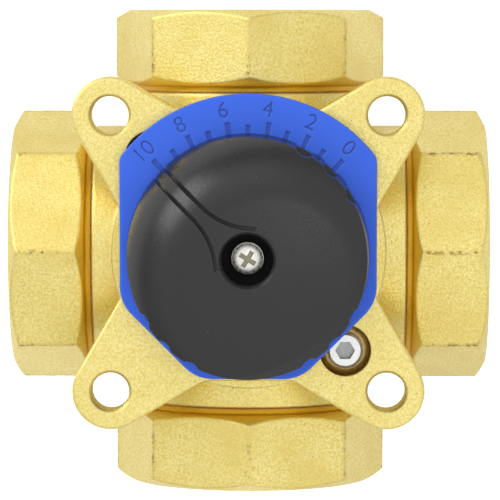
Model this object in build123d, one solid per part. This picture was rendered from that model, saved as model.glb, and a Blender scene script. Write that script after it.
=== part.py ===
from build123d import *
from math import asin, atan2, cos, degrees, radians, sin, sqrt, tan
import os

# Four-way mixing valve, DN32, lying on its back. Millimetres, +Z along the stem towards the knob,
# +X and +Y along the two pairs of ports, origin on the stem axis in the face that it rests on.

# Body casting
body_length = 95.0
axis_height = 27.5
octagon_flats = 50.0
octagon_sides = 8
collar_length = 15.05
collar_face_radius = 24.2
collar_front_angle = 30.0
collar_back_angle = 31.0
neck_radius = 23.0
waist_radius = 24.0
waist_half_length = 31.3
waist_edge = 0.5
column_radius = 27.0
column_bottom = 6.0
flange_thickness = 7.5
flange_corner = 6.0
rear_pad_radius = 17.0
rear_pad_edge = 0.8
floor_thickness = 10.0
face_above_waist = 1.2
port_pitch = 90.0

# Water ways
chamber_radius = 23.0
passage_radius = 13.0
passage_mouth_radius = 18.5
passage_cone_length = 7.5
thread_radius = 20.955
thread_depth = 16.0
thread_chamfer = 1.2

# Cover plate with four ears
cover_thickness = 6.0
cover_half_width = 25.0
ear_spacing = 54.0
ear_radius = 7.5
ear_side_angle = 30.0
ear_root_round = 3.0
ear_hole_radius = 3.7
ear_hole_chamfer = 0.5
cover_edge_round = 0.7
spigot_length = 7.0
hub_radius = 9.5
hub_height = 5.0

# Cover screws, M4 with a socket head, at two corners of the cover
cover_screw_offset = 18.9
screw_radius = 2.0
screw_head_radius = 3.5
screw_head_height = 4.0
screw_head_edge = 0.5
screw_socket_flats = 3.3
screw_socket_depth = 2.2
screw_grip_length = 9.0
screw_boss_radius = 5.5
screw_boss_length = 14.0
tapped_hole_spare = 1.5
washer_radius = 3.45
washer_thickness = 0.9
counterbore_radius = 5.0
counterbore_depth = 5.0
counterbore_round = 1.3

# Cover ring, an O-ring in the groove of the cover's spigot
cover_ring_section = 2.2
cover_ring_depth = 3.4

# Scale plate, blue plastic
plate_thickness = 3.0
plate_half_width = 25.0
plate_top_radius = 31.3
plate_lower_flat = 24.3
plate_top_corner = 2.5
plate_lower_corner = 8.0
plate_edge_round = 0.35
tick_count = 11
tick_inner_radius = 23.0
tick_minor_radius = 25.2
tick_major_radius = 26.0
tick_width = 1.1
tick_depth = 0.25
peg_radius = 1.5
peg_length = 2.0
peg_spacing = 30.0

# Travel of the knob, from its rest at mark 10 clockwise to mark 0; its rest is just past the mark
travel = 90.0
first_mark_azimuth = 135.0
past_mark = 1.5

# Stem and its bearings
stem_radius = 6.0
stem_collar_radius = 8.6
stem_collar_thickness = 1.5
thrust_thickness = 0.9
end_float = 0.1
trunnion_radius = 4.0
trunnion_length = 5.4
bearing_spare = 0.6
bush_wall = 1.95
bush_length = 5.0
lower_thrust_thickness = 0.7
lower_thrust_radius = 7.5
running_gap = 0.05
stem_ring_section = 1.7
stem_ring_pitch = 3.4
stem_flats = 8.4
stop_pin_radius = 1.25
stop_pin_reach = 8.9
stop_gap = 0.3
clip_thickness = 0.9
clip_radius = 8.4
clip_groove_depth = 0.8
clip_mouth = 8.0

# Mixing blade
blade_thickness = 3.0
blade_gap = 0.1
blade_end_gap = 0.3
shoe_thickness = 2.2
shoe_land_share = 0.96
blade_screw_radius = 1.5
blade_screw_head = 2.75
blade_screw_spacing = 18.0
blade_screw_length = 6.4

# Knob
knob_gap = 0.5
knob_radius = 23.6
knob_height = 16.8
knob_top_radius = 22.8
knob_rim_offset = 2.8
knob_rim_slope = 1.0
knob_wall = 2.2
dome_offset = 6.0
dome_flat_radius = 15.0
dome_flat_drop = 0.6
dome_end_radius = 29.8
dome_end_drop = 15.0
scallop_radius = 2.3
scallop_depth = 1.3
scallop_pitch = 15.5
scallops_in_group = 3
pointer_width = 2.1
pointer_flare_start = 13.0
pointer_rise = 0.35
groove_width = 0.7
groove_depth = 0.7
boss_radius = 5.8
recess_radius = 5.0
recess_depth = 8.1
recess_edge = 0.5
tip_notch_radius = 1.1
knob_hub_radius = 8.4
knob_seat_thickness = 1.9
rib_count = 4
rib_thickness = 1.3
rib_foot_gap = 3.3

# Knob screw, M3 with a pan head, over a spring washer
knob_screw_radius = 1.5
knob_screw_head_radius = 2.95
knob_screw_head_height = 2.4
knob_screw_head_ball = 8.8
knob_screw_length = 7.0
cross_width = 0.85
cross_span = 3.4
cross_depth = 1.5
cross_turn = 12.0
spring_washer_radius = 3.1
spring_washer_thickness = 0.8
spring_washer_cut = 0.5

# Play left round screws, pins, rings and washers
fit_gap = 0.05

# Heights and angles that follow from the sizes above
body_face_height = axis_height + waist_radius + face_above_waist
cover_top = body_face_height + cover_thickness
hub_top = cover_top + hub_height
cover_ring_height = body_face_height - cover_ring_depth
cover_underside = body_face_height - spigot_length
plate_top = cover_top + plate_thickness
knob_base = plate_top + knob_gap
knob_top = knob_base + knob_height
knob_seat = knob_top - recess_depth
stem_top = knob_seat - knob_seat_thickness - 2 * fit_gap
stop_height = hub_top - stop_pin_radius - stop_gap
stem_shoulder = floor_thickness + lower_thrust_thickness + end_float
stem_collar_top = cover_underside - thrust_thickness - end_float
stem_collar_bottom = stem_collar_top - stem_collar_thickness
clip_bottom = hub_top + stop_gap
clip_top = clip_bottom + clip_thickness + 2 * fit_gap
flats_bottom = clip_top + stop_gap
half_length = body_length / 2
ear_place = ear_spacing / 2
cover_bore = stem_radius + running_gap + bush_wall
floor_bore = trunnion_radius + running_gap + bush_wall
blade_radius = chamber_radius - blade_gap
seat_height = body_face_height + cover_thickness - counterbore_depth
rest_azimuth = first_mark_azimuth + past_mark
four_ports = [index * port_pitch for index in range(4)]


def rod(radius, bottom, top):
    """A round bar about the stem axis between two heights."""
    bar = Cylinder(radius, top - bottom, align=(Align.CENTER, Align.CENTER, Align.MIN))
    return Pos(0, 0, bottom) * bar


def slab(outline, bottom, top):
    """A flat outline raised between two heights."""
    return Pos(0, 0, bottom) * extrude(outline, top - bottom)


def ring(outer, inner, bottom, top):
    """A flat ring about the stem axis between two heights."""
    return slab(Circle(outer) - Circle(inner), bottom, top)


def lathe(points):
    """A solid turned about the stem axis from a closed profile of (radius, height)."""
    return revolve(Plane.XZ * make_face(Polyline(*points, close=True)), Axis.Z)


def port_turned(points):
    """A solid turned about the +X port axis from a closed profile of (distance, radius)."""
    solid = revolve(Plane.XZ * make_face(Polyline(*points, close=True)), Axis.X)
    return Pos(0, 0, axis_height) * solid


def sector(radius, first, last, margin):
    """A flat sector between two azimuths less than 180 degrees apart, each side moved out."""
    side = Rectangle(4 * radius, 2 * radius)
    after = Rot(0, 0, first) * Pos(0, radius - margin) * side
    before = Rot(0, 0, last) * Pos(0, margin - radius) * side
    return Circle(radius) & after & before


# The two corners of the cover that hold a screw
screw_places = {
    "a": Pos(-cover_screw_offset, cover_screw_offset),
    "b": Pos(cover_screw_offset, -cover_screw_offset),
}


# Body: one hot-pressed and machined brass piece
def port_end():
    """One octagonal port end on +X and its neck, the octagon's edges turned back to cones."""
    face = half_length - collar_length
    corner = octagon_flats / 2 / cos(radians(180 / octagon_sides)) + 1
    rise = corner - collar_face_radius
    octagon = RegularPolygon(octagon_flats / 2, octagon_sides, major_radius=False)
    bar = Pos(face, 0, axis_height) * extrude(Plane.YZ * octagon, collar_length)
    turned = port_turned([
        (face, 0),
        (face, collar_face_radius),
        (face + rise * tan(radians(collar_back_angle)), corner),
        (half_length - rise * tan(radians(collar_front_angle)), corner),
        (half_length, collar_face_radius),
        (half_length, 0),
    ])
    barrel = port_turned([
        (0, 0),
        (0, waist_radius),
        (waist_half_length - waist_edge, waist_radius),
        (waist_half_length, waist_radius - waist_edge),
        (waist_half_length, neck_radius),
        (face + 1, neck_radius),
        (face + 1, 0),
    ])
    return bar & turned, barrel


def port_bore():
    """What is cut from one port: lead-in, thread bore, cone and passage to the chamber."""
    bottom = half_length - thread_depth
    mouth = thread_radius + thread_chamfer
    return port_turned([
        (0, 0),
        (0, passage_radius),
        (bottom - passage_cone_length, passage_radius),
        (bottom, passage_mouth_radius),
        (bottom, thread_radius),
        (half_length - thread_chamfer, thread_radius),
        (half_length, mouth),
        (half_length + 1, mouth),
        (half_length + 1, 0),
    ])


def valve_body():
    collar, barrel = port_end()
    flange = RectangleRounded(2 * cover_half_width, 2 * cover_half_width, flange_corner)
    rear_pad = lathe([
        (0, 0),
        (rear_pad_radius - rear_pad_edge, 0),
        (rear_pad_radius, rear_pad_edge),
        (rear_pad_radius, floor_thickness),
        (0, floor_thickness),
    ])
    added = [rear_pad, slab(flange, body_face_height - flange_thickness, body_face_height)]
    cut = [rod(chamber_radius, floor_thickness, body_face_height + 1)]
    bearing_bottom = floor_thickness - trunnion_length - bearing_spare
    cut.append(rod(floor_bore + fit_gap, bearing_bottom, floor_thickness + 1))
    for turn in four_ports:
        added += [Rot(0, 0, turn) * barrel, Rot(0, 0, turn) * collar]
        cut.append(Rot(0, 0, turn) * port_bore())
    for place in screw_places.values():
        added.append(place * rod(screw_boss_radius, body_face_height - screw_boss_length, body_face_height))
        hole_bottom = body_face_height - screw_grip_length - tapped_hole_spare
        cut.append(place * rod(screw_radius + fit_gap, hole_bottom, body_face_height + 1))
    return rod(column_radius, column_bottom, body_face_height) + added - cut


# Cover: pressed brass plate with four ears for an actuator, a spigot below and a hub above
def ear_outline(radius, place, half_width):
    """One ear on the +X +Y corner: two sides tangent to its round end, run to the cover's sides."""
    lean = radians(ear_side_angle)
    tip = (place + radius * cos(lean), place - radius * sin(lean))
    root = tip[1] - (tip[0] - half_width) / tan(lean)
    side = [(0, 0), (half_width, root), tip]
    mirrored = [(y, x) for x, y in reversed(side[1:])]
    return make_face(Polyline(*side, *mirrored, close=True)) + Pos(place, place) * Circle(radius), root


def cover_outline():
    ear, root = ear_outline(ear_radius, ear_place, cover_half_width)
    square = Rectangle(2 * cover_half_width, 2 * cover_half_width)
    outline = square + [Rot(0, 0, turn) * ear for turn in four_ports]
    roots = []
    for vertex in outline.vertices():
        far, near = max(abs(vertex.X), abs(vertex.Y)), min(abs(vertex.X), abs(vertex.Y))
        if abs(far - cover_half_width) < 0.01 and abs(near - root) < 0.01:
            roots.append(vertex)
    return fillet(roots, ear_root_round)


def stop_window():
    """The opening in the hub that the stop pin sweeps, with a small gap at each end."""
    first = rest_azimuth - travel
    opening = sector(hub_radius + 1, first, rest_azimuth, stop_pin_radius + stop_gap)
    return slab(opening, stop_height - stop_pin_radius - stop_gap, hub_top + 1)


def cover_plate():
    plate = slab(cover_outline(), body_face_height, cover_top)
    plate = fillet(plate.edges().group_by(Axis.Z)[-1], cover_edge_round)
    groove_top = cover_ring_height + cover_ring_section / 2 + fit_gap
    groove_bottom = cover_ring_height - cover_ring_section / 2 - fit_gap
    spigot = rod(chamber_radius - fit_gap, cover_underside, body_face_height)
    groove_radius = chamber_radius - cover_ring_section - 2 * fit_gap
    groove = ring(chamber_radius + 1, groove_radius, groove_bottom, groove_top)
    cut = [groove, stop_window(), rod(stem_radius + running_gap, cover_underside - 1, hub_top + 1)]
    cut.append(rod(cover_bore + fit_gap, cover_underside - 1, cover_underside + bush_length))
    for place in screw_places.values():
        cut.append(place * rod(screw_radius + 0.2, body_face_height - 1, seat_height + 1))
        cup = rod(counterbore_radius, seat_height, cover_top + 1)
        cut.append(place * fillet(cup.edges().group_by(Axis.Z)[0], counterbore_round))
    hole = lathe([
        (0, body_face_height - 1),
        (ear_hole_radius, body_face_height - 1),
        (ear_hole_radius, cover_top - ear_hole_chamfer),
        (ear_hole_radius + ear_hole_chamfer + 0.1, cover_top + 0.1),
        (0, cover_top + 0.1),
    ])
    for x in (-ear_place, ear_place):
        for y in (-ear_place, ear_place):
            cut.append(Pos(x, y) * hole)
    peg_hole = rod(peg_radius + fit_gap, cover_top - peg_length - 2 * fit_gap, cover_top + 1)
    cut += [Pos(-peg_spacing / 2, 0) * peg_hole, Pos(peg_spacing / 2, 0) * peg_hole]
    return plate + [spigot, rod(hub_radius, body_face_height, hub_top)] - cut


def o_ring(section, outer, height):
    """A rubber ring of round section, its outer edge at a given radius."""
    return Pos(0, 0, height) * Torus(outer - section / 2, section / 2)


# Cover screws
def cover_screw():
    bottom = seat_height + washer_thickness
    top = bottom + screw_head_height
    screw = lathe([
        (0, body_face_height - screw_grip_length),
        (screw_radius, body_face_height - screw_grip_length),
        (screw_radius, bottom),
        (screw_head_radius, bottom),
        (screw_head_radius, top - screw_head_edge),
        (screw_head_radius - screw_head_edge, top),
        (0, top),
    ])
    socket = RegularPolygon(screw_socket_flats / 2, 6, major_radius=False)
    return screw - slab(socket, top - screw_socket_depth, top + 1)


def cover_washer():
    return ring(washer_radius, screw_radius + 0.2, seat_height, seat_height + washer_thickness)


# Scale plate: moulded blue plastic, held down by the knob and two pegs
def plate_outline():
    cut_x = plate_half_width
    arc_y = sqrt(plate_top_radius**2 - cut_x**2)
    diagonal = plate_lower_flat * sqrt(2)
    side_end = cut_x - diagonal
    bottom_x = diagonal - plate_lower_flat
    right = [(cut_x, arc_y), (cut_x, side_end), (bottom_x, -plate_lower_flat)]
    left = [(-x, y) for x, y in reversed(right)]
    lower = Polyline(*right, *left)
    top = ThreePointArc(left[-1], (0, plate_top_radius), right[0])
    outline = make_face([lower, top])
    lower_corners = [v for v in outline.vertices() if v.Y < 0]
    outline = fillet(lower_corners, plate_lower_corner)
    upper_corners = [v for v in outline.vertices() if abs(v.Y - arc_y) < 0.01]
    return fillet(upper_corners, plate_top_corner)


def scale_plate():
    plate = slab(plate_outline(), cover_top, plate_top)
    plate = fillet(plate.edges().group_by(Axis.Z)[-1], plate_edge_round)
    cut = [rod(hub_radius + 0.2, cover_top - 1, plate_top + 1)]
    for index in range(tick_count):
        azimuth = first_mark_azimuth - travel * index / (tick_count - 1)
        end = tick_minor_radius if index % 2 else tick_major_radius
        length = end - tick_inner_radius
        tick = Pos((end + tick_inner_radius) / 2, 0, plate_top) * Box(length, tick_width, 2 * tick_depth)
        cut.append(Rot(0, 0, azimuth) * tick)
    for place in screw_places.values():
        cut.append(place * rod(counterbore_radius, cover_top - 1, cover_top + plate_thickness / 3))
    peg = rod(peg_radius, cover_top - peg_length, cover_top)
    return plate - cut + [Pos(-peg_spacing / 2, 0) * peg, Pos(peg_spacing / 2, 0) * peg]


# Bushes, washers, pin and clip that carry the stem
def upper_bush():
    return ring(cover_bore, stem_radius + running_gap, cover_underside, cover_underside + bush_length)


def lower_bush():
    return ring(floor_bore, trunnion_radius + running_gap, floor_thickness - bush_length, floor_thickness)


def thrust_washer():
    bottom = stem_collar_top
    return ring(stem_collar_radius, stem_radius + running_gap, bottom, bottom + thrust_thickness)


def lower_thrust_washer():
    bottom = floor_thickness
    return ring(lower_thrust_radius, trunnion_radius + running_gap, bottom, bottom + lower_thrust_thickness)


def stop_pin():
    back = stop_gap - stem_radius
    pin = Cylinder(stop_pin_radius, stop_pin_reach - back, rotation=(0, 90, 0))
    return Pos((stop_pin_reach + back) / 2, 0, stop_height) * pin


def stem_clip():
    """A spring clip sprung into the stem's groove just above the hub."""
    inner = stem_radius - clip_groove_depth + fit_gap
    mouth = Pos(-clip_radius, 0) * Rectangle(2 * clip_radius, clip_mouth)
    outline = Circle(clip_radius) - Circle(inner) - mouth
    return slab(outline, clip_bottom + fit_gap, clip_bottom + fit_gap + clip_thickness)


# Stem: turned steel, with a flat for the blade and two flats for the knob
stem_ring_heights = [
    cover_underside + bush_length + stem_ring_section,
    cover_underside + bush_length + stem_ring_section + stem_ring_pitch,
]
blade_bottom = floor_thickness + blade_end_gap
blade_top = cover_underside - blade_end_gap
seat_bottom = stem_shoulder + stem_collar_thickness
seat_top = stem_collar_bottom
blade_screw_heights = [(seat_bottom + seat_top + side * blade_screw_spacing) / 2 for side in (-1, 1)]


def stem():
    shaft = lathe([
        (0, floor_thickness - trunnion_length),
        (trunnion_radius - 0.5, floor_thickness - trunnion_length),
        (trunnion_radius, floor_thickness - trunnion_length + 0.5),
        (trunnion_radius, stem_shoulder),
        (stem_radius, stem_shoulder),
        (stem_radius, stem_collar_bottom),
        (stem_collar_radius, stem_collar_bottom),
        (stem_collar_radius, stem_collar_top),
        (stem_radius, stem_collar_top),
        (stem_radius, stem_top - 0.5),
        (stem_radius - 0.5, stem_top),
        (0, stem_top),
    ])
    flat = Pos(0, 2 * stem_radius - blade_thickness / 2) * Rectangle(4 * stem_radius, 4 * stem_radius)
    cut = [slab(flat, seat_bottom, seat_top)]
    for height in stem_ring_heights:
        half = stem_ring_section / 2 + fit_gap
        floor_radius = stem_radius - stem_ring_section - fit_gap
        cut.append(ring(stem_radius + 1, floor_radius, height - half, height + half))
    cut.append(ring(stem_radius + 1, stem_radius - clip_groove_depth, clip_bottom, clip_top))
    for side in (-1, 1):
        aside = Pos(0, side * (stem_flats / 2 + stem_radius)) * Rectangle(4 * stem_radius, 2 * stem_radius)
        cut.append(slab(aside, flats_bottom, stem_top + 1))
    pin_hole = Cylinder(stop_pin_radius + 0.02, 4 * stem_radius, rotation=(0, 90, 0))
    cut.append(Pos(0, 0, stop_height) * pin_hole)
    thread_bottom = knob_seat + spring_washer_thickness - knob_screw_length - 0.4
    cut.append(rod(knob_screw_radius + fit_gap, thread_bottom, stem_top + 1))
    for height in blade_screw_heights:
        hole = Cylinder(blade_screw_radius + fit_gap, 4 * stem_radius, rotation=(90, 0, 0))
        cut.append(Pos(0, 0, height) * hole)
    return shaft - cut


# Mixing blade: brass plate across the chamber, with a curved shoe at each end
def blade():
    plate = Rectangle(2 * blade_radius, blade_thickness) & Circle(blade_radius)
    land = degrees(asin(passage_radius / chamber_radius))
    half_shoe = (port_pitch / 2 - land) * shoe_land_share
    shoe_band = Circle(blade_radius) - Circle(blade_radius - shoe_thickness)
    shoe = shoe_band & sector(blade_radius + 1, -half_shoe, half_shoe, 0)
    outline = plate + [shoe, Rot(0, 0, 180) * shoe]
    solid = slab(outline, blade_bottom, blade_top)
    cut = [rod(stem_collar_radius + blade_end_gap, stem_collar_bottom, blade_top + 1)]
    cut.append(rod(lower_thrust_radius + blade_end_gap, blade_bottom - 1, seat_bottom))
    for height in blade_screw_heights:
        cut.append(Pos(0, 0, height) * Rot(-90, 0, 0) * blade_screw_hole())
    return solid - cut


def blade_screw_hole():
    """A countersunk hole that opens on the blade's free side, along +Z before it is laid down."""
    face = blade_thickness / 2
    cone = blade_screw_head - blade_screw_radius
    return lathe([
        (0, -face - 1),
        (blade_screw_radius + fit_gap, -face - 1),
        (blade_screw_radius + fit_gap, face - cone - fit_gap),
        (blade_screw_head + fit_gap, face),
        (blade_screw_head + fit_gap, face + 1),
        (0, face + 1),
    ])


def blade_screw():
    """A countersunk screw with a slot, its head level with the blade."""
    face = blade_thickness / 2 - fit_gap
    cone = blade_screw_head - blade_screw_radius
    screw = lathe([
        (0, face - blade_screw_length),
        (blade_screw_radius, face - blade_screw_length),
        (blade_screw_radius, face - cone),
        (blade_screw_head - fit_gap, face),
        (0, face),
    ])
    return screw - Pos(0, 0, face) * Box(4 * blade_screw_head, 0.8, 1.2)


# Knob: moulded plastic, its crown a dome set back from the pointer, its skirt scalloped
def knob_skirt(inset, bottom):
    """The tapered skirt, its upper edge turned back to a cone that is set towards the pointer."""
    top_radius = knob_top_radius - inset
    skirt = lathe([(0, bottom), (knob_radius - inset, bottom), (top_radius, knob_top), (0, knob_top)])
    reach = (knob_top - bottom) * knob_rim_slope
    rim = lathe([(0, bottom), (top_radius + reach, bottom), (top_radius, knob_top), (0, knob_top)])
    return skirt & Pos(knob_rim_offset, 0) * rim


def crown(drop):
    """The dome over the knob, lowered by a drop, turned about an axis set back from the pointer."""
    middle = -dome_offset
    top = (middle, 0, knob_top - drop)
    shoulder = (middle + dome_flat_radius, 0, knob_top - dome_flat_drop - drop)
    end = (middle + dome_end_radius - drop, 0, knob_top - dome_end_drop - drop)
    plateau = TangentArc(top, shoulder, tangent=(1, 0, 0))
    fall = TangentArc(shoulder, end, tangent=plateau % 1)
    low = knob_base - 3
    foot = Polyline(end, (end[0], 0, low), (middle, 0, low), top)
    face = make_face([plateau, fall, foot])
    return revolve(face, Axis((middle, 0, 0), (0, 0, 1)))


def pointer_outline():
    """The pointer along +X: a straight bar that flares by two round fillets into the boss."""
    half = pointer_width / 2
    start = pointer_flare_start
    flare = (start**2 + half**2 - boss_radius**2) / (2 * (boss_radius - half))
    centre = Vector(start, half + flare)
    to_boss = degrees(atan2(-centre.Y, -centre.X))
    middle = radians((to_boss - 90) / 2)
    touch = centre * (boss_radius / centre.length)
    on_arc = centre + Vector(flare * cos(middle), flare * sin(middle))
    arc = ThreePointArc((start, half), on_arc, touch)
    edges = Polyline(touch, (0, 0), (start, 0), (start, half))
    side = make_face([arc, edges])
    bar = Pos(knob_radius / 2, 0) * Rectangle(knob_radius + 2, pointer_width)
    return Circle(boss_radius) + [bar, side, mirror(side, Plane.XZ)]


def knob():
    skirt = knob_skirt(0, knob_base)
    outline = pointer_outline()
    raised = slab(outline, stem_top, knob_top + 2) & crown(-pointer_rise) & skirt
    wide = offset(outline, groove_width)
    beside = Pos(boss_radius / 2 + knob_radius, 0) * Rectangle(2 * knob_radius, 2 * knob_radius)
    groove = slab((wide - outline) & beside, knob_base - 1, knob_top + 2) - crown(groove_depth)
    recess = lathe([
        (0, knob_seat),
        (recess_radius, knob_seat),
        (recess_radius, knob_top - recess_edge),
        (recess_radius + 2 * recess_edge, knob_top + recess_edge),
        (0, knob_top + recess_edge),
    ])
    cut = [groove, recess]
    for group in (90, 180, 270):
        for index in range(scallops_in_group):
            azimuth = group + scallop_pitch * (index - (scallops_in_group - 1) / 2)
            out = knob_radius - scallop_depth + scallop_radius
            cutter = rod(scallop_radius, knob_base - 1, knob_top + 2)
            cut.append(Rot(0, 0, azimuth) * Pos(out, 0) * cutter)
    cut.append(Pos(knob_radius, 0) * rod(tip_notch_radius, knob_base - 1, knob_base + knob_wall))
    cavity = knob_skirt(knob_wall, knob_base - 1) & crown(knob_wall)
    hub_bottom = flats_bottom + 2 * fit_gap
    ribs = []
    for index in range(rib_count):
        rib = slab(Rectangle(knob_radius, rib_thickness), knob_base + rib_foot_gap, knob_top)
        ribs.append(Rot(0, 0, (index + 0.5) * 360 / rib_count) * Pos(knob_radius / 2, 0) * rib)
    cavity = cavity - [rod(knob_hub_radius, hub_bottom, knob_top), *ribs]
    socket = Circle(stem_radius + fit_gap) & Rectangle(4 * stem_radius, stem_flats + 2 * fit_gap)
    cut += [cavity, slab(socket, hub_bottom - 1, knob_seat - knob_seat_thickness)]
    cut.append(rod(knob_screw_radius + 3 * fit_gap, stem_top - 1, knob_seat + 1))
    return (skirt & crown(0)) + raised - cut


# Knob screw and its spring washer
def knob_screw():
    seat = knob_seat + spring_washer_thickness
    top = seat + knob_screw_head_height
    ball = Pos(0, 0, top - knob_screw_head_ball) * Sphere(knob_screw_head_ball)
    head = rod(knob_screw_head_radius, seat, top) & ball
    cross = [Box(cross_span, cross_width, 2 * cross_depth), Box(cross_width, cross_span, 2 * cross_depth)]
    screw = head + rod(knob_screw_radius, seat - knob_screw_length, seat)
    return Rot(0, 0, cross_turn) * (screw - [Pos(0, 0, top) * bar for bar in cross])


def knob_washer():
    cut = Pos(-spring_washer_radius, 0) * Rectangle(2 * spring_washer_radius, spring_washer_cut)
    outline = Circle(spring_washer_radius) - Circle(knob_screw_radius + 3 * fit_gap) - cut
    return slab(outline, knob_seat, knob_seat + spring_washer_thickness)


# What stays and what turns with the knob, each piece in a file of its own
pieces = {
    "valve_body": valve_body(),
    "cover_plate": cover_plate(),
    "cover_o_ring": o_ring(cover_ring_section, chamber_radius - fit_gap / 2, cover_ring_height),
    "scale_plate": scale_plate(),
    "upper_bush": upper_bush(),
    "lower_bush": lower_bush(),
}
for letter, place in screw_places.items():
    pieces["cover_screw_" + letter] = place * cover_screw()
    pieces["cover_washer_" + letter] = place * cover_washer()

turning = {
    "stem": stem(),
    "mixing_blade": blade(),
    "thrust_washer": thrust_washer(),
    "lower_thrust_washer": lower_thrust_washer(),
    "stop_pin": stop_pin(),
    "stem_clip": stem_clip(),
    "knob": knob(),
    "knob_screw": knob_screw(),
    "knob_washer": knob_washer(),
}
for letter, height in zip("ab", stem_ring_heights):
    turning["stem_o_ring_" + letter] = o_ring(stem_ring_section, stem_radius + running_gap / 2, height)
for letter, height in zip("ab", blade_screw_heights):
    turning["blade_screw_" + letter] = Pos(0, 0, height) * Rot(-90, 0, 0) * blade_screw()
for name, piece in turning.items():
    pieces[name] = Rot(0, 0, rest_azimuth) * piece

os.makedirs("parts", exist_ok=True)
for name, piece in pieces.items():
    export_step(piece, f"parts/{name}.step")
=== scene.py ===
import math

import bmesh
import bpy
from mathutils import Matrix, Vector


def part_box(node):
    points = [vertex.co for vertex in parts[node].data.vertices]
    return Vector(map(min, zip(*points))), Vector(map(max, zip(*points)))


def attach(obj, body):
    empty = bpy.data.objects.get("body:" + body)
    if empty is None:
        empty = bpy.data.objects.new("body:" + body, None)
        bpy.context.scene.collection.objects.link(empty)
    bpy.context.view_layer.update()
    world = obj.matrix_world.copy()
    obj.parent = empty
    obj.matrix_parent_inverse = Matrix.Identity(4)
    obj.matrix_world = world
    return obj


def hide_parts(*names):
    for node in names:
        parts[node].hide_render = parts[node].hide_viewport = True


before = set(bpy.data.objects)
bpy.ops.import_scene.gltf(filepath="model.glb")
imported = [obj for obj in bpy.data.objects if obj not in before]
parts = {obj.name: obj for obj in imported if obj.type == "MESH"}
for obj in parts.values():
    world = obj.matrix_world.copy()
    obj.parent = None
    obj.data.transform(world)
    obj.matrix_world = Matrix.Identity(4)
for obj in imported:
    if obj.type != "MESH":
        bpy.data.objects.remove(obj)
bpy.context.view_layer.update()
MM = 0.001


# Valve body: one hot-pressed brass piece, blasted all over and machined at the ports.
# The octagons stay as pressed, and the turned grooves behind them get painted shade in a deeper gold,
# darkest at the barrel's edge as a painted contact shadow.
BODY_PALE = (0.98, 0.86, 0.37)
BODY_DEEP = (0.8, 0.63, 0.15)
BODY_CLOUD = (0.8, 0.6, 0.16)
BODY_EDGE_RADIUS = 0.8 * MM
BODY_EDGE_SHINE = 0.12
BRASS_PIT = (0.6, 0.42, 0.12)
BRASS_EDGE_HIGHLIGHT = (0.98, 0.87, 0.46)
BRASS_BUMP_DEPTH = 0.12 * MM
EDGE_TURN = (0.995, 0.82)
NEAR_EDGE_TURN = (0.9999, 0.975)
PIT_REACH = (0.2, 0.08)
PIT_PATCHES = (0.6, 0.7)
SPECKLE = (0.35, 0.62)
BLOTCH = (0.3, 0.75)
BLOTCH_SHARE = 0.35
BLOTCH_DARKENING = 0.93
GRAIN = (0.3, 0.7)
ROUGHNESS_SWING = 0.06
CLOUD = (0.47, 0.66)
CLOUD_SHARE = 0.5
GROOVE_START = 31.3 * MM
GROOVE_END = 33.6 * MM
GROOVE_RISE = 0.5 * MM
GROOVE_FADE = 1.3 * MM
GROOVE_FOOT_END = 33.0 * MM
GROOVE_SHADE = (0.8, 0.46, 0.03)
GROOVE_CONTACT_SHADOW = (0.65, 0.36, 0.02)
FACET_START = 34.4 * MM
FACET_END = 46.0 * MM
FACET_START_FADE = 0.6 * MM
FACET_END_FADE = 0.8 * MM
FACET_EDGE_SHADE = (0.7, 0.5, 0.13)
FACET_EDGE_SHARE = 0.4
DENT_REACH = 1.6 * MM
DENTS = (0.5, 0.6)
DENT_PATCHES = (0.38, 0.5)
DENT_SHADE = (0.3, 0.18, 0.04)


def add_node(tree, kind, **settings):
    """A shader node with its settings and plain input values."""
    node = tree.nodes.new(kind)
    for name, value in settings.items():
        if name in node.inputs:
            node.inputs[name].default_value = value
        else:
            setattr(node, name, value)
    return node


def texture(tree, place, kind="Noise", **settings):
    """The mask that a noise or Voronoi texture gives at a place."""
    node = add_node(tree, "ShaderNodeTex" + kind, **settings)
    tree.links.new(place, node.inputs["Vector"])
    return node.outputs["Distance" if kind == "Voronoi" else 0]


def spread(tree, value, low, high, to_low=0.0, to_high=1.0):
    """A value stretched from one range to another and held at its ends."""
    node = tree.nodes.new("ShaderNodeMapRange")
    limits = {"From Min": low, "From Max": high, "To Min": to_low, "To Max": to_high}
    for name, number in limits.items():
        node.inputs[name].default_value = number
    tree.links.new(value, node.inputs["Value"])
    return node.outputs["Result"]


def share(tree, mask, most):
    """A mask turned down, so that it goes from nothing to the given most."""
    return spread(tree, mask, 0.0, 1.0, 0.0, most)


def calculation(tree, operation, first, second=0.0):
    """One Math node on two sockets or numbers."""
    node = add_node(tree, "ShaderNodeMath", operation=operation)
    for socket, value in zip(node.inputs, (first, second)):
        if isinstance(value, float):
            socket.default_value = value
        else:
            tree.links.new(value, socket)
    return node.outputs[0]


def product(tree, *factors):
    """All the factors multiplied."""
    result = factors[0]
    for factor in factors[1:]:
        result = calculation(tree, "MULTIPLY", result, factor)
    return result


def blended(tree, factor, first, second):
    """A colour that goes from the first to the second, each a colour or a socket."""
    mix = add_node(tree, "ShaderNodeMix", data_type="RGBA")
    tree.links.new(factor, mix.inputs["Factor"])
    for socket, colour in ((mix.inputs[6], first), (mix.inputs[7], second)):
        if isinstance(colour, tuple):
            socket.default_value = (*colour, 1.0)
        else:
            tree.links.new(colour, socket)
    return mix.outputs[2]


def new_group(name, inputs, outputs):
    """An empty node group with its sockets, and the nodes that hold them inside."""
    group = bpy.data.node_groups.new(name, "ShaderNodeTree")
    for way, sockets in (("INPUT", inputs), ("OUTPUT", outputs)):
        for label, kind in sockets.items():
            group.interface.new_socket(label, in_out=way, socket_type="NodeSocket" + kind)
    return group, group.nodes.new("NodeGroupInput"), group.nodes.new("NodeGroupOutput")


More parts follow.
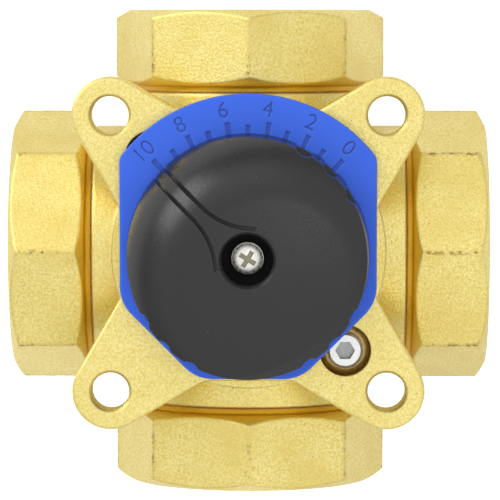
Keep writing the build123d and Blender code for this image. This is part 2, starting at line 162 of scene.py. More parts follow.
def make_edge_group():
    """Rounds sharp edges in the shading and masks them, for painted highlights on the edges and for
    painted shade and dents beside them.
    """
    outputs = {"Normal": "Vector", "Edge": "Float", "Near": "Float"}
    group, enter, leave = new_group("rounded_edges", {"Radius": "Float"}, outputs)
    bevel = add_node(group, "ShaderNodeBevel", samples=6)
    plain = group.nodes.new("ShaderNodeNewGeometry")
    turn = add_node(group, "ShaderNodeVectorMath", operation="DOT_PRODUCT")
    group.links.new(enter.outputs["Radius"], bevel.inputs["Radius"])
    group.links.new(bevel.outputs["Normal"], turn.inputs[0])
    group.links.new(plain.outputs["Normal"], turn.inputs[1])
    group.links.new(bevel.outputs["Normal"], leave.inputs["Normal"])
    group.links.new(spread(group, turn.outputs["Value"], *EDGE_TURN), leave.inputs["Edge"])
    group.links.new(spread(group, turn.outputs["Value"], *NEAR_EDGE_TURN), leave.inputs["Near"])
    return group


def make_grain_group():
    """Blasted metal: a fine grain, scattered pits and slow blotches, as masks and a height."""
    outputs = {"Grain": "Float", "Pits": "Float", "Blotches": "Float", "Height": "Float"}
    inputs = {"Vector": "Vector", "Grain Scale": "Float"}
    group, enter, leave = new_group("blasted_grain", inputs, outputs)
    place = enter.outputs["Vector"]
    grain = add_node(group, "ShaderNodeTexNoise", Detail=3.0, Roughness=0.65)
    group.links.new(place, grain.inputs["Vector"])
    group.links.new(enter.outputs["Grain Scale"], grain.inputs["Scale"])
    pits = spread(group, texture(group, place, "Voronoi", Scale=1500.0, Randomness=1.0), *PIT_REACH)
    patches = spread(group, texture(group, place, Scale=420.0, Detail=1.0), *PIT_PATCHES)
    scattered = product(group, pits, patches)
    group.links.new(grain.outputs[0], leave.inputs["Grain"])
    group.links.new(scattered, leave.inputs["Pits"])
    group.links.new(texture(group, place, Scale=85.0, Detail=2.0), leave.inputs["Blotches"])
    group.links.new(calculation(group, "SUBTRACT", grain.outputs[0], scattered), leave.inputs["Height"])
    return group


rounded_edges = make_edge_group()
blasted_grain = make_grain_group()


def dress(piece, material):
    """Gives a piece one material all over."""
    piece.data.materials.clear()
    piece.data.materials.append(material)


def new_finish(name):
    """A material of a Principled shader alone: its tree, shader and object coordinates."""
    material = bpy.data.materials.new(name)
    material.use_nodes = True
    tree = material.node_tree
    shader = tree.nodes["Principled BSDF"]
    coords = tree.nodes.new("ShaderNodeTexCoord")
    return material, tree, shader, coords.outputs["Object"]


def edges_of(tree, radius):
    """The edge group placed in a material, for edges of one radius."""
    edge = add_node(tree, "ShaderNodeGroup", node_tree=rounded_edges)
    edge.inputs["Radius"].default_value = radius
    return edge


def finish_normal(tree, shader, edge, height, strength, distance):
    """Puts a fine height over the rounded normal."""
    bump = add_node(tree, "ShaderNodeBump", Strength=strength, Distance=distance)
    tree.links.new(edge.outputs["Normal"], bump.inputs["Normal"])
    tree.links.new(height, bump.inputs["Height"])
    tree.links.new(bump.outputs["Normal"], shader.inputs["Normal"])


def brass_finish(name, pale, deep, roughness, grain_scale, bump, edge_radius, marks_and_shade=None, shine=0.4):
    """Blasted brass: pale and deep gold in the grain, dark pits, painted highlights on the rounded
    edges.
    """
    material, tree, shader, place = new_finish(name)
    grain = add_node(tree, "ShaderNodeGroup", node_tree=blasted_grain)
    grain.inputs["Grain Scale"].default_value = grain_scale
    tree.links.new(place, grain.inputs["Vector"])
    edge = edges_of(tree, edge_radius)
    colour = blended(tree, spread(tree, grain.outputs["Grain"], *SPECKLE), deep, pale)
    blotches = spread(tree, grain.outputs["Blotches"], *BLOTCH, 0.0, BLOTCH_SHARE)
    colour = blended(tree, blotches, colour, tuple(BLOTCH_DARKENING * c for c in deep))
    colour = blended(tree, grain.outputs["Pits"], colour, BRASS_PIT)
    # Painted highlight: the rounded edges lightened towards a pale gold.
    colour = blended(tree, share(tree, edge.outputs["Edge"], shine), colour, BRASS_EDGE_HIGHLIGHT)
    if marks_and_shade:
        colour = marks_and_shade(tree, place, colour)
    tree.links.new(colour, shader.inputs["Base Color"])
    shader.inputs["Metallic"].default_value = 1.0
    dull = spread(
        tree, grain.outputs["Grain"], *GRAIN, roughness + ROUGHNESS_SWING, roughness - ROUGHNESS_SWING
    )
    tree.links.new(dull, shader.inputs["Roughness"])
    finish_normal(tree, shader, edge, grain.outputs["Height"], bump, BRASS_BUMP_DEPTH)
    return material


def body_stains(tree, place, colour):
    """Clouds of deeper gold; painted shade in the turned grooves behind the octagons, with a painted
    contact shadow at the barrel's edge; painted shade and dents along the octagons' long edges.
    """
    split = tree.nodes.new("ShaderNodeSeparateXYZ")
    tree.links.new(place, split.inputs[0])
    away = [calculation(tree, "ABSOLUTE", split.outputs[axis]) for axis in ("X", "Y")]
    along = calculation(tree, "MAXIMUM", *away)
    clouds = texture(tree, place, Scale=70.0, Detail=2.0, Roughness=0.5)
    colour = blended(tree, spread(tree, clouds, *CLOUD, 0.0, CLOUD_SHARE), colour, BODY_CLOUD)
    # Painted shade in the turned grooves: a deeper gold, deeper still near the barrel's edge as a
    # painted contact shadow.
    rise = spread(tree, along, GROOVE_START, GROOVE_START + GROOVE_RISE)
    for end, painted_shade in ((GROOVE_END, GROOVE_SHADE), (GROOVE_FOOT_END, GROOVE_CONTACT_SHADOW)):
        fall = spread(tree, along, end, end - GROOVE_FADE)
        colour = blended(tree, product(tree, rise, fall), colour, painted_shade)
    # Painted shade along the octagons' rounded long edges; the dents in the same band are real marks.
    starts = spread(tree, along, FACET_START, FACET_START + FACET_START_FADE)
    ends = spread(tree, along, FACET_END, FACET_END - FACET_END_FADE)
    edge = product(tree, edges_of(tree, DENT_REACH).outputs["Near"], starts, ends)
    colour = blended(tree, share(tree, edge, FACET_EDGE_SHARE), colour, FACET_EDGE_SHADE)
    dents = spread(tree, texture(tree, place, Scale=950.0, Detail=2.0), *DENTS)
    patches = spread(tree, texture(tree, place, Scale=160.0, Detail=1.0), *DENT_PATCHES)
    return blended(tree, product(tree, edge, dents, patches), colour, DENT_SHADE)


body_brass = brass_finish(
    "body_brass",
    BODY_PALE,
    BODY_DEEP,
    roughness=0.34,
    grain_scale=2300.0,
    bump=0.9,
    edge_radius=BODY_EDGE_RADIUS,
    marks_and_shade=body_stains,
    shine=BODY_EDGE_SHINE,
)
dress(parts["valve_body"], body_brass)


# Port threads: the inner thread of each port, cut in the body's brass, about eleven turns to the inch.
# Each is one helical crest standing in from the port's plain wall.
THREAD_RADIUS = 20.955 * MM
THREAD_PITCH = 2.309 * MM
THREAD_CREST = 1.35 * MM
THREAD_FOOT_HALF = 0.46 * THREAD_PITCH
THREAD_CREST_HALF = 0.07 * THREAD_PITCH
THREAD_START = 32.4 * MM
THREAD_TURNS = 5.6
THREAD_STEPS_PER_TURN = 56
THREAD_LET_IN = 0.03 * MM
MERGE_REACH = 1e-7
THREAD_SHARP_ANGLE = math.radians(35)
PORT_HEIGHT = 27.5 * MM
THREAD_PALE = (0.95, 0.83, 0.4)
THREAD_DEEP = (0.86, 0.7, 0.26)
THREAD_EDGE_RADIUS = 0.12 * MM

thread_brass = brass_finish(
    "thread_brass",
    THREAD_PALE,
    THREAD_DEEP,
    roughness=0.24,
    grain_scale=1500.0,
    bump=0.12,
    edge_radius=THREAD_EDGE_RADIUS,
)


def new_piece(name, mesh):
    """A piece in the scene from a finished bmesh."""
    data = bpy.data.meshes.new(name)
    mesh.to_mesh(data)
    mesh.free()
    piece = bpy.data.objects.new(name, data)
    bpy.context.scene.collection.objects.link(piece)
    return piece


def smooth(data, sharp_angle):
    """Smooth shading, with the sharper edges kept."""
    data.shade_smooth()
    data.set_sharp_from_angle(angle=sharp_angle)


def port_thread(name, turn):
    """One port's thread: a crest's section wound along the port's axis."""
    mesh = bmesh.new()
    root = THREAD_RADIUS + THREAD_LET_IN
    crest = THREAD_RADIUS - THREAD_CREST
    section = (
        (-THREAD_FOOT_HALF, root),
        (-THREAD_CREST_HALF, crest),
        (THREAD_CREST_HALF, crest),
        (THREAD_FOOT_HALF, root),
    )
    corners = [mesh.verts.new((THREAD_START + along, 0, radius)) for along, radius in section]
    face = mesh.faces.new(corners)
    steps = round(THREAD_TURNS * THREAD_STEPS_PER_TURN)
    bmesh.ops.spin(
        mesh,
        geom=[face, *face.edges, *face.verts],
        cent=(0, 0, 0),
        axis=(1, 0, 0),
        dvec=(THREAD_PITCH * THREAD_TURNS / steps, 0, 0),
        angle=math.tau * THREAD_TURNS,
        steps=steps,
        use_merge=False,
    )
    bmesh.ops.remove_doubles(mesh, verts=mesh.verts, dist=MERGE_REACH)
    bmesh.ops.recalc_face_normals(mesh, faces=mesh.faces)
    place = Matrix.Rotation(turn, 4, "Z") @ Matrix.Translation((0, 0, PORT_HEIGHT))
    bmesh.ops.transform(mesh, matrix=place, verts=mesh.verts)
    piece = new_piece(name, mesh)
    smooth(piece.data, THREAD_SHARP_ANGLE)
    dress(piece, thread_brass)
    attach(piece, "root")


PORT_TURNS = {"plus_x": 0.0, "plus_y": math.pi / 2, "minus_x": math.pi, "minus_y": -math.pi / 2}
for side, turn in PORT_TURNS.items():
    port_thread("port_thread_" + side, turn)


# Cover plate: pressed brass with four ears, blasted a little finer and paler than the body.
# Two socket screws hold it down on one diagonal, each in a round cup.
COVER_PALE = (0.98, 0.86, 0.38)
COVER_DEEP = (0.81, 0.65, 0.165)
COVER_EDGE_RADIUS = 0.45 * MM
SCREW_CUP_RADIUS = 5.0 * MM
CUP_EDGE = 0.15 * MM
CUP_WALL_REACH = 0.5 * MM
CUP_GOLD = (0.95, 0.72, 0.3)
CUP_RIM_SHADE = (0.5, 0.32, 0.08)


def middle_of(low, high, height):
    """The middle of a box, seen from above, at a given height."""
    return Vector(((low.x + high.x) / 2, (low.y + high.y) / 2, height))


def seen_from_above(tree, place):
    """A place with its height taken away."""
    flat = add_node(tree, "ShaderNodeVectorMath", operation="MULTIPLY")
    flat.inputs[1].default_value = (1.0, 1.0, 0.0)
    tree.links.new(place, flat.inputs[0])
    return flat.outputs[0]


def distance_from(tree, place, centre):
    """How far a place lies from a centre, seen from above."""
    away = add_node(tree, "ShaderNodeVectorMath", operation="DISTANCE")
    away.inputs[1].default_value = (centre[0], centre[1], 0.0)
    tree.links.new(seen_from_above(tree, place), away.inputs[0])
    return away.outputs["Value"]


def cup_stains(tree, place, colour):
    """A warmer gold in the cup round each cover screw, with painted shade where the wall meets the
    face.
    """
    for name in ("cover_screw_a", "cover_screw_b"):
        away = distance_from(tree, place, middle_of(*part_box(name), 0.0))
        inside = spread(tree, away, SCREW_CUP_RADIUS + CUP_EDGE, SCREW_CUP_RADIUS)
        colour = blended(tree, inside, colour, CUP_GOLD)
        # Painted shade where the cup's wall meets its face.
        rim = spread(tree, away, SCREW_CUP_RADIUS - CUP_WALL_REACH, SCREW_CUP_RADIUS)
        colour = blended(tree, product(tree, inside, rim), colour, CUP_RIM_SHADE)
    return colour


cover_brass = brass_finish(
    "cover_brass",
    COVER_PALE,
    COVER_DEEP,
    roughness=0.38,
    grain_scale=2600.0,
    bump=0.7,
    edge_radius=COVER_EDGE_RADIUS,
    marks_and_shade=cup_stains,
)
dress(parts["cover_plate"], cover_brass)


# Screws, washers and clip: zinc-plated steel with a fine grain and painted highlights on the edges.
# The two cover screws are whiter, with painted shade in their sockets.
STEEL_EDGE_RADIUS = 0.12 * MM
STEEL_EDGE_HIGHLIGHT = (0.97, 0.96, 0.93)
STEEL_EDGE_HIGHLIGHT_SHARE = 0.5
STEEL_SPECKLE = (0.35, 0.65)
STEEL_BUMP_DEPTH = 0.05 * MM
DRIVE_START = 0.15 * MM
DRIVE_FULL = 0.4 * MM
DRIVE_EDGE = 0.1 * MM
ZINC_PALE = (0.74, 0.73, 0.69)
ZINC_DEEP = (0.6, 0.59, 0.54)
SCREW_PALE = (0.92, 0.92, 0.9)
SCREW_DEEP = (0.84, 0.84, 0.81)
SOCKET_REACH = 2.2 * MM
SOCKET_SHADE = (0.42, 0.43, 0.42)


def drive_mask(tree, place, top, reach):
    """The mask of a drive sunk in a screw's top, within a reach of its middle."""
    split = tree.nodes.new("ShaderNodeSeparateXYZ")
    tree.links.new(place, split.inputs[0])
    deep = spread(tree, split.outputs["Z"], top.z - DRIVE_START, top.z - DRIVE_FULL)
    near = spread(tree, distance_from(tree, place, top), reach, reach - DRIVE_EDGE)
    return product(tree, deep, near)


def steel_finish(name, colour, dark, roughness, bump=0.15, drive=None):
    """Plated steel: a fine grain in its roughness, painted highlights on the edges, and painted shade
    in a sunk drive.
    """
    material, tree, shader, place = new_finish(name)
    grain = texture(tree, place, Scale=1800.0, Detail=3.0)
    edge = edges_of(tree, STEEL_EDGE_RADIUS)
    tone = blended(tree, spread(tree, grain, *STEEL_SPECKLE), dark, colour)
    # Painted highlight: the rounded edges lightened towards a pale steel.
    tone = blended(tree, share(tree, edge.outputs["Edge"], STEEL_EDGE_HIGHLIGHT_SHARE), tone, STEEL_EDGE_HIGHLIGHT)
    if drive:
        # Painted shade in the sunk drive.
        top, reach, drive_shade = drive
        tone = blended(tree, drive_mask(tree, place, top, reach), tone, drive_shade)
    tree.links.new(tone, shader.inputs["Base Color"])
    shader.inputs["Metallic"].default_value = 1.0
    dull = spread(tree, grain, *GRAIN, roughness - 0.05, roughness + 0.07)
    tree.links.new(dull, shader.inputs["Roughness"])
    finish_normal(tree, shader, edge, grain, bump, STEEL_BUMP_DEPTH)
    return material


zinc_steel = steel_finish("zinc_steel", ZINC_PALE, ZINC_DEEP, roughness=0.3)
for name in ("cover_washer_a", "cover_washer_b", "blade_screw_a", "blade_screw_b", "stem_clip"):
    dress(parts[name], zinc_steel)
for name in ("cover_screw_a", "cover_screw_b"):
    low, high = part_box(name)
    socket = (middle_of(low, high, high.z), SOCKET_REACH, SOCKET_SHADE)
    dress(parts[name], steel_finish(name, SCREW_PALE, SCREW_DEEP, roughness=0.34, drive=socket))


# Stem and stop pin: turned stainless steel, smoother than the plated screws.
# The stem runs in the two bushes and carries the blade below and the knob above.
STEM_PALE = (0.68, 0.68, 0.68)
STEM_DEEP = (0.56, 0.56, 0.56)

turned_steel = steel_finish("turned_steel", STEM_PALE, STEM_DEEP, roughness=0.22)
for name in ("stem", "stop_pin"):
    dress(parts[name], turned_steel)


# Mixing blade: sawn and machined brass plate, seen through the ports.
# Two countersunk screws hold it on the stem's flat.
BLADE_PALE = (0.9, 0.75, 0.4)
BLADE_DEEP = (0.78, 0.6, 0.26)
BLADE_EDGE_RADIUS = 0.3 * MM

blade_brass = brass_finish(
    "blade_brass",
    BLADE_PALE,
    BLADE_DEEP,
    roughness=0.34,
    grain_scale=1900.0,
    bump=0.25,
    edge_radius=BLADE_EDGE_RADIUS,
)
dress(parts["mixing_blade"], blade_brass)


# Bushes and thrust washers: oil-soaked sintered bronze.
# The bushes are pressed into the cover and the body's floor, and the washers lie loose on the stem.
BRONZE_PALE = (0.6, 0.4, 0.2)
BRONZE_DEEP = (0.42, 0.26, 0.12)
BUSH_EDGE_RADIUS = 0.1 * MM

bush_bronze = brass_finish(
    "bush_bronze",
    BRONZE_PALE,
    BRONZE_DEEP,
    roughness=0.5,
    grain_scale=3200.0,
    bump=0.4,
    edge_radius=BUSH_EDGE_RADIUS,
)
for name in ("upper_bush", "lower_bush", "thrust_washer", "lower_thrust_washer"):
    dress(parts[name], bush_bronze)


# Rings: black rubber with a dull bloom.
# Two seal the stem in the cover, and one seals the cover's spigot in the body.
RUBBER_BLACK = (0.012, 0.012, 0.013)
RUBBER_BLOOM = (0.035, 0.035, 0.036)


def rubber_finish():
    """Black rubber, greyer where it has bloomed."""
    material, tree, shader, place = new_finish("rubber")
    bloom = texture(tree, place, Scale=700.0, Detail=3.0)
    tree.links.new(blended(tree, bloom, RUBBER_BLACK, RUBBER_BLOOM), shader.inputs["Base Color"])
    tree.links.new(spread(tree, bloom, *GRAIN, 0.55, 0.75), shader.inputs["Roughness"])
    return material


rubber = rubber_finish()
for name in ("cover_o_ring", "stem_o_ring_a", "stem_o_ring_b"):
    dress(parts[name], rubber)


# Scale plate: moulded blue plastic, satin, with sunk marks and sunk numbers 0 to 10.
# The numbers are sunk here in a copy of the plate, which stands for the plain one.
NUMBER_RADIUS = 28.35 * MM
NUMBER_SIZE = 4.5 * MM
NUMBER_DEPTH = 0.3 * MM
NUMBERS = (10, 8, 6, 4, 2, 0)
FIRST_NUMBER_TURN = math.radians(45.3)
NUMBER_STEP = math.radians(-17.7)
PLATE_MERGE_REACH = 1e-6
PLATE_SHARP_ANGLE = math.radians(25)
PLATE_FLAT_UP = 0.999
PLATE_EDGE_RADIUS = 0.35 * MM
PLATE_BUMP_DEPTH = 0.04 * MM
BLUE_DEEP = (0.035, 0.13, 0.8)
BLUE_PALE = (0.045, 0.165, 0.93)
BLUE_SUNK_SHADE = (0.029, 0.105, 0.66)
BLUE_EDGE_HIGHLIGHT = (0.2, 0.38, 0.95)
BLUE_EDGE_HIGHLIGHT_SHARE = 0.55
MARK_START = 0.06 * MM
MARK_FULL = 0.2 * MM

plate_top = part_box("scale_plate")[1].z


def number_cutter():
    """All the numbers as one closed prism, each turned to face the knob."""
    mesh = bmesh.new()
    for index, number in enumerate(NUMBERS):
        curve = bpy.data.curves.new("number", "FONT")
        curve.body = str(number)
        curve.size = NUMBER_SIZE
        curve.align_x = "CENTER"
        curve.align_y = "CENTER"
        curve.extrude = NUMBER_DEPTH
        curve.resolution_u = 5
        text = bpy.data.objects.new("number", curve)
        flat = bpy.data.meshes.new_from_object(text)
        turn = Matrix.Rotation(FIRST_NUMBER_TURN + index * NUMBER_STEP, 4, "Z")
        flat.transform(turn @ Matrix.Translation((0, NUMBER_RADIUS, plate_top)))
        mesh.from_mesh(flat)
        bpy.data.objects.remove(text)
        bpy.data.curves.remove(curve)
        bpy.data.meshes.remove(flat)
    bmesh.ops.remove_doubles(mesh, verts=mesh.verts, dist=MERGE_REACH)
    bmesh.ops.recalc_face_normals(mesh, faces=mesh.faces)
    return new_piece("number_cutter", mesh)


def marked_scale_plate():
    """A merged copy of the moulded plate with the numbers cut in its face."""
    mesh = bmesh.new()
    mesh.from_mesh(parts["scale_plate"].data)
    bmesh.ops.remove_doubles(mesh, verts=mesh.verts, dist=PLATE_MERGE_REACH)
    plate = new_piece("scale_plate_marked", mesh)
    cutter = number_cutter()
    carve = plate.modifiers.new("numbers", "BOOLEAN")
    carve.operation = "DIFFERENCE"
    carve.solver = "EXACT"
    carve.object = cutter
    shaped = plate.evaluated_get(bpy.context.evaluated_depsgraph_get())
    carved = bpy.data.meshes.new_from_object(shaped)
    plate.modifiers.clear()
    plate.data = carved
    bpy.data.objects.remove(cutter)
    smooth(carved, PLATE_SHARP_ANGLE)
    for face in carved.polygons:
        if face.normal.z > PLATE_FLAT_UP:
            face.use_smooth = False
    return plate


def blue_plastic():
    """Satin blue, with painted shade in the sunk marks and painted highlights on the moulded edges."""
    material, tree, shader, place = new_finish("blue_plastic")
    split = tree.nodes.new("ShaderNodeSeparateXYZ")
    tree.links.new(place, split.inputs[0])
    grain = texture(tree, place, Scale=2300.0, Detail=2.0)
    edge = edges_of(tree, PLATE_EDGE_RADIUS)
    colour = blended(tree, texture(tree, place, Scale=60.0, Detail=2.0), BLUE_DEEP, BLUE_PALE)
    # Painted shade in the sunk marks and numbers.
    sunk = spread(tree, split.outputs["Z"], plate_top - MARK_START, plate_top - MARK_FULL)
    colour = blended(tree, sunk, colour, BLUE_SUNK_SHADE)
    # Painted highlight on the moulded edges.
    colour = blended(tree, share(tree, edge.outputs["Edge"], BLUE_EDGE_HIGHLIGHT_SHARE), colour, BLUE_EDGE_HIGHLIGHT)
    tree.links.new(colour, shader.inputs["Base Color"])
    shader.inputs["Specular IOR Level"].default_value = 0.35
    tree.links.new(spread(tree, grain, *GRAIN, 0.38, 0.5), shader.inputs["Roughness"])
    finish_normal(tree, shader, edge, grain, 0.15, PLATE_BUMP_DEPTH)
    return material


scale_plate = marked_scale_plate()
dress(scale_plate, blue_plastic())
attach(scale_plate, "root")
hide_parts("scale_plate")


# Knob: moulded black plastic with a fine spark-eroded texture, its dome set back from the pointer.
# Painted shade keeps the grooves beside the pointer and the screw's recess black.
POINTER_WAY = (-0.7254, 0.6884, 0.0)
DOME_CENTRE = (4.352 * MM, -4.13 * MM)
DOME_FLAT_RADIUS = 15.0 * MM
DOME_FLAT_DROP = 0.6 * MM
DOME_BEND_START = 13.7 * MM
DOME_BEND_RADIUS = 16.2 * MM
SUNK_REACH = 21.3 * MM
SUNK_REACH_FADE = 2.0 * MM
SUNK_START = 0.1 * MM
SUNK_END = 0.85 * MM
GROOVE_FAINT = 3.5 * MM
GROOVE_FULL = 11.0 * MM
GROOVE_FAINT_SHARE = 0.2
RECESS_REACH = 6.0 * MM
RECESS_EDGE = 0.6 * MM
KNOB_EDGE_RADIUS = 0.3 * MM
KNOB_BUMP_DEPTH = 0.05 * MM
BLACK_DEEP = (0.011, 0.0101, 0.011)
BLACK_PALE = (0.0175, 0.0164, 0.0175)
BLACK_SUNK_SHADE = (0.003, 0.003, 0.003)
BLACK_EDGE_HIGHLIGHT = (0.1, 0.1, 0.103)
BLACK_EDGE_HIGHLIGHT_SHARE = 0.3
DUST_GREY = (0.3, 0.3, 0.3)
DUST_REACH = (0.035, 0.02)
DUST_SHARE = 0.35
SUNK_DULLNESS = 0.5


def dome_height(tree, away):
    """The height of the knob's dome at a distance from its middle: nearly flat, then bent down."""
    on_flat = calculation(tree, "MINIMUM", away, DOME_FLAT_RADIUS)
    flat_share = calculation(tree, "DIVIDE", on_flat, DOME_FLAT_RADIUS)
    flat_drop = calculation(tree, "MULTIPLY", product(tree, flat_share, flat_share), DOME_FLAT_DROP)
    bend = calculation(tree, "MAXIMUM", calculation(tree, "SUBTRACT", away, DOME_BEND_START), 0.0)
    below = calculation(tree, "SUBTRACT", DOME_BEND_RADIUS**2, product(tree, bend, bend))
    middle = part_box("knob")[1].z - DOME_BEND_RADIUS
    height = calculation(tree, "ADD", calculation(tree, "SQRT", below), middle)
    return calculation(tree, "SUBTRACT", height, flat_drop)


def sunk_in_dome(tree, place):
    """The mask of what lies under the knob's dome: grooves and recess, but not the skirt."""
    split = tree.nodes.new("ShaderNodeSeparateXYZ")
    tree.links.new(place, split.inputs[0])
    surface = dome_height(tree, distance_from(tree, place, DOME_CENTRE))
    depth = calculation(tree, "SUBTRACT", surface, split.outputs["Z"])
    deep = spread(tree, depth, SUNK_START, SUNK_END)
    from_stem = distance_from(tree, place, (0.0, 0.0))
    within = spread(tree, from_stem, SUNK_REACH, SUNK_REACH - SUNK_REACH_FADE)
    along = add_node(tree, "ShaderNodeVectorMath", operation="DOT_PRODUCT")
    along.inputs[1].default_value = POINTER_WAY
    tree.links.new(place, along.inputs[0])
    groove = spread(tree, along.outputs["Value"], GROOVE_FAINT, GROOVE_FULL, GROOVE_FAINT_SHARE, 1.0)
    recess = spread(tree, from_stem, RECESS_REACH, RECESS_REACH - RECESS_EDGE)
    return product(tree, deep, within, calculation(tree, "MAXIMUM", groove, recess))


def black_plastic():
    """Black plastic with a fine texture, a little dust, painted highlights on its edges and painted
    shade in its grooves and recess.
    """
    material, tree, shader, place = new_finish("black_plastic")
    grain = texture(tree, place, Scale=2000.0, Detail=3.0, Roughness=0.6)
    dust = spread(tree, texture(tree, place, "Voronoi", Scale=330.0), *DUST_REACH, 0.0, DUST_SHARE)
    edge = edges_of(tree, KNOB_EDGE_RADIUS)
    sunk = sunk_in_dome(tree, place)
    colour = blended(tree, grain, BLACK_DEEP, BLACK_PALE)
    colour = blended(tree, dust, colour, DUST_GREY)
    # Painted highlight on the rounded edges.
    colour = blended(tree, share(tree, edge.outputs["Edge"], BLACK_EDGE_HIGHLIGHT_SHARE), colour, BLACK_EDGE_HIGHLIGHT)
    # Painted shade in the grooves beside the pointer and in the screw's recess.
    colour = blended(tree, sunk, colour, BLACK_SUNK_SHADE)
    tree.links.new(colour, shader.inputs["Base Color"])
    shader.inputs["Specular IOR Level"].default_value = 0.5
    dull = spread(tree, grain, *GRAIN, 0.24, 0.34)
    dull = calculation(tree, "ADD", dull, share(tree, sunk, SUNK_DULLNESS))
    tree.links.new(dull, shader.inputs["Roughness"])
    finish_normal(tree, shader, edge, grain, 0.1, KNOB_BUMP_DEPTH)
    return material


knob_plastic = black_plastic()
dress(parts["knob"], knob_plastic)


# Knob foot: the plain band under the knob's scallops, moulded in one with the knob.
# It shows at the foot of each scallop, over the scale plate.
KNOB_FOOT_INNER = 22.0 * MM
KNOB_FOOT_OUTER = 23.25 * MM
KNOB_FOOT_HEIGHT = 1.2 * MM
KNOB_FOOT_STEPS = 128


def knob_foot():
    """A flat band spun round the stem's axis, its outer wall let into the skirt."""
    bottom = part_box("knob")[0].z
    mesh = bmesh.new()
    corners = [
        mesh.verts.new((radius, 0.0, bottom + rise))
        for radius, rise in (
            (KNOB_FOOT_INNER, 0.0),
            (KNOB_FOOT_OUTER, 0.0),
            (KNOB_FOOT_OUTER, KNOB_FOOT_HEIGHT),
            (KNOB_FOOT_INNER, KNOB_FOOT_HEIGHT),
        )
    ]
    edges = [mesh.edges.new((corners[i], corners[(i + 1) % 4])) for i in range(4)]
    bmesh.ops.spin(
        mesh,
        geom=corners + edges,
        cent=(0, 0, 0),
        axis=(0, 0, 1),
        angle=math.tau,
        steps=KNOB_FOOT_STEPS,
        use_merge=True,
    )
    bmesh.ops.recalc_face_normals(mesh, faces=mesh.faces)
    foot = new_piece("knob_foot", mesh)
    dress(foot, knob_plastic)
    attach(foot, "rotor")


knob_foot()


# Knob screw and its spring washer: bright plated steel, the brightest piece of the valve.
# The screw's cross recess gets a little painted shade.
CROSS_REACH = 1.9 * MM
CROSS_SHADE = (0.3, 0.28, 0.19)
BRIGHT_PALE = (0.95, 0.93, 0.88)
BRIGHT_DEEP = (0.84, 0.82, 0.76)

screw_top = Vector((0.0, 0.0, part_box("knob_screw")[1].z))
cross = (screw_top, CROSS_REACH, CROSS_SHADE)
bright_steel = steel_finish(
    "bright_steel", BRIGHT_PALE, BRIGHT_DEEP, roughness=0.26, bump=0.05, drive=cross
)
dress(parts["knob_screw"], bright_steel)
dress(parts["knob_washer"], zinc_steel)


# Floor: a plain pale sheet under the valve. To the camera it glows white and keeps a soft shadow.
# The brass and the screws see a part of that glow as well.
FLOOR_WHITE = (0.86, 0.86, 0.86, 1.0)
FLOOR_ROUGHNESS = 0.9
FLOOR_SIZE = 3.0
FLOOR_GLOW = 0.8
FLOOR_MIRRORED_SHARE = 0.12


def white_seen(tree, mirrored_share):
    """1 for what the camera sees straight, and a share of it for what metal or glass shows of it."""
    rays = tree.nodes.new("ShaderNodeLightPath")
    glossy, through = rays.outputs["Is Glossy Ray"], rays.outputs["Is Transmission Ray"]
    mirrored = calculation(tree, "MAXIMUM", glossy, through)
    part = calculation(tree, "MULTIPLY", mirrored, mirrored_share)
    return calculation(tree, "MAXIMUM", rays.outputs["Is Camera Ray"], part)


def make_floor():
    """The sheet and its white, which isn't part of the valve."""
    material = bpy.data.materials.new("floor")
    material.use_nodes = True
    tree = material.node_tree
    shader = tree.nodes["Principled BSDF"]
    shader.inputs["Base Color"].default_value = FLOOR_WHITE
    shader.inputs["Roughness"].default_value = FLOOR_ROUGHNESS
    shader.inputs["Emission Color"].default_value = (1.0, 1.0, 1.0, 1.0)
    glow = calculation(tree, "MULTIPLY", white_seen(tree, FLOOR_MIRRORED_SHARE), FLOOR_GLOW)
    tree.links.new(glow, shader.inputs["Emission Strength"])
    mesh = bmesh.new()
    bmesh.ops.create_grid(mesh, x_segments=1, y_segments=1, size=FLOOR_SIZE)
    floor = new_piece("floor", mesh)
    dress(floor, material)


make_floor()


# Light: a white room, dimmer near the horizon, and four soft boxes over the valve and beside it.
# The camera sees the room white, and metal sees at least a share of that white.
ROOM_LIGHT = 0.95
HORIZON_SHARE = 0.28
HORIZON_HEIGHT = 0.55
ROOM_MIRRORED_SHARE = 0.45

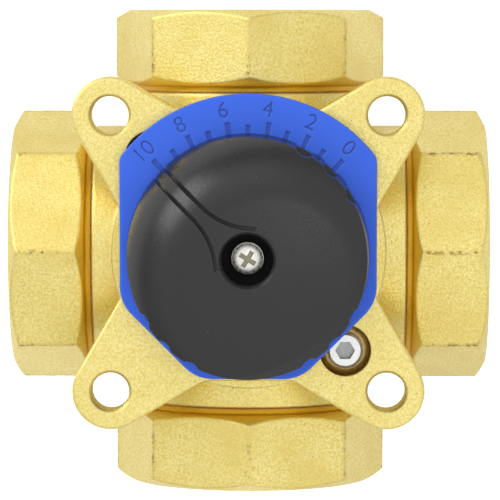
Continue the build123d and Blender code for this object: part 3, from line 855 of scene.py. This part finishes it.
world = bpy.data.worlds.new("room")
bpy.context.scene.world = world
world.use_nodes = True
room = world.node_tree
direction = room.nodes.new("ShaderNodeTexCoord")
upward = room.nodes.new("ShaderNodeSeparateXYZ")
room.links.new(direction.outputs["Generated"], upward.inputs[0])
shade = spread(room, upward.outputs["Z"], 0.0, HORIZON_HEIGHT, HORIZON_SHARE * ROOM_LIGHT, ROOM_LIGHT)
strength = calculation(room, "MAXIMUM", shade, white_seen(room, ROOM_MIRRORED_SHARE))
background = room.nodes["Background"]
background.inputs["Color"].default_value = (1.0, 1.0, 1.0, 1.0)
room.links.new(strength, background.inputs["Strength"])


def soft_box(name, place, aim, size, power):
    """A square area light that faces a point."""
    lamp = bpy.data.lights.new(name, "AREA")
    lamp.shape = "SQUARE"
    lamp.size = size
    lamp.energy = power
    light = bpy.data.objects.new(name, lamp)
    light.location = place
    light.rotation_euler = (Vector(aim) - Vector(place)).to_track_quat("-Z", "Y").to_euler()
    bpy.context.scene.collection.objects.link(light)


soft_box("upper_left_box", (-0.63, 0.5, 0.385), (0, 0, 0.05), 0.44, 2.1)
soft_box("top_box", (0.1, 0.13, 1.1), (0, 0, 0.06), 0.22, 0.2)
soft_box("upper_box", (-0.2, 0.7, 0.7), (0, 0, 0.04), 0.6, 0.35)
soft_box("lower_right_box", (0.4, -0.6, 0.7), (0, 0, 0.04), 0.5, 0.35)


# Camera: nearly straight down the stem's axis, tipped a little towards the upper port.
# A long lens keeps the four ports nearly the same size.
CAMERA_DISTANCE = 0.75
CAMERA_TIP = math.radians(3.8)
CAMERA_LEAN = math.radians(0.6)
CAMERA_LENS = 265.4
CAMERA_SENSOR = 36.0
CAMERA_CLIP = 0.05
AIM = Vector((0.0, -1.32 * MM, PORT_HEIGHT))

camera_data = bpy.data.cameras.new("camera")
camera_data.lens = CAMERA_LENS
camera_data.sensor_width = CAMERA_SENSOR
camera_data.clip_start = CAMERA_CLIP
camera = bpy.data.objects.new("camera", camera_data)
bpy.context.scene.collection.objects.link(camera)
up_share = math.cos(CAMERA_TIP) * math.cos(CAMERA_LEAN)
toward = Vector((math.sin(CAMERA_LEAN), math.sin(CAMERA_TIP), up_share)).normalized()
camera.location = AIM + CAMERA_DISTANCE * toward
right = Vector((0, 1, 0)).cross(toward).normalized()
camera.rotation_euler = Matrix((right, toward.cross(right), toward)).transposed().to_euler()
bpy.context.scene.camera = camera

bpy.context.scene.view_settings.view_transform = "Standard"
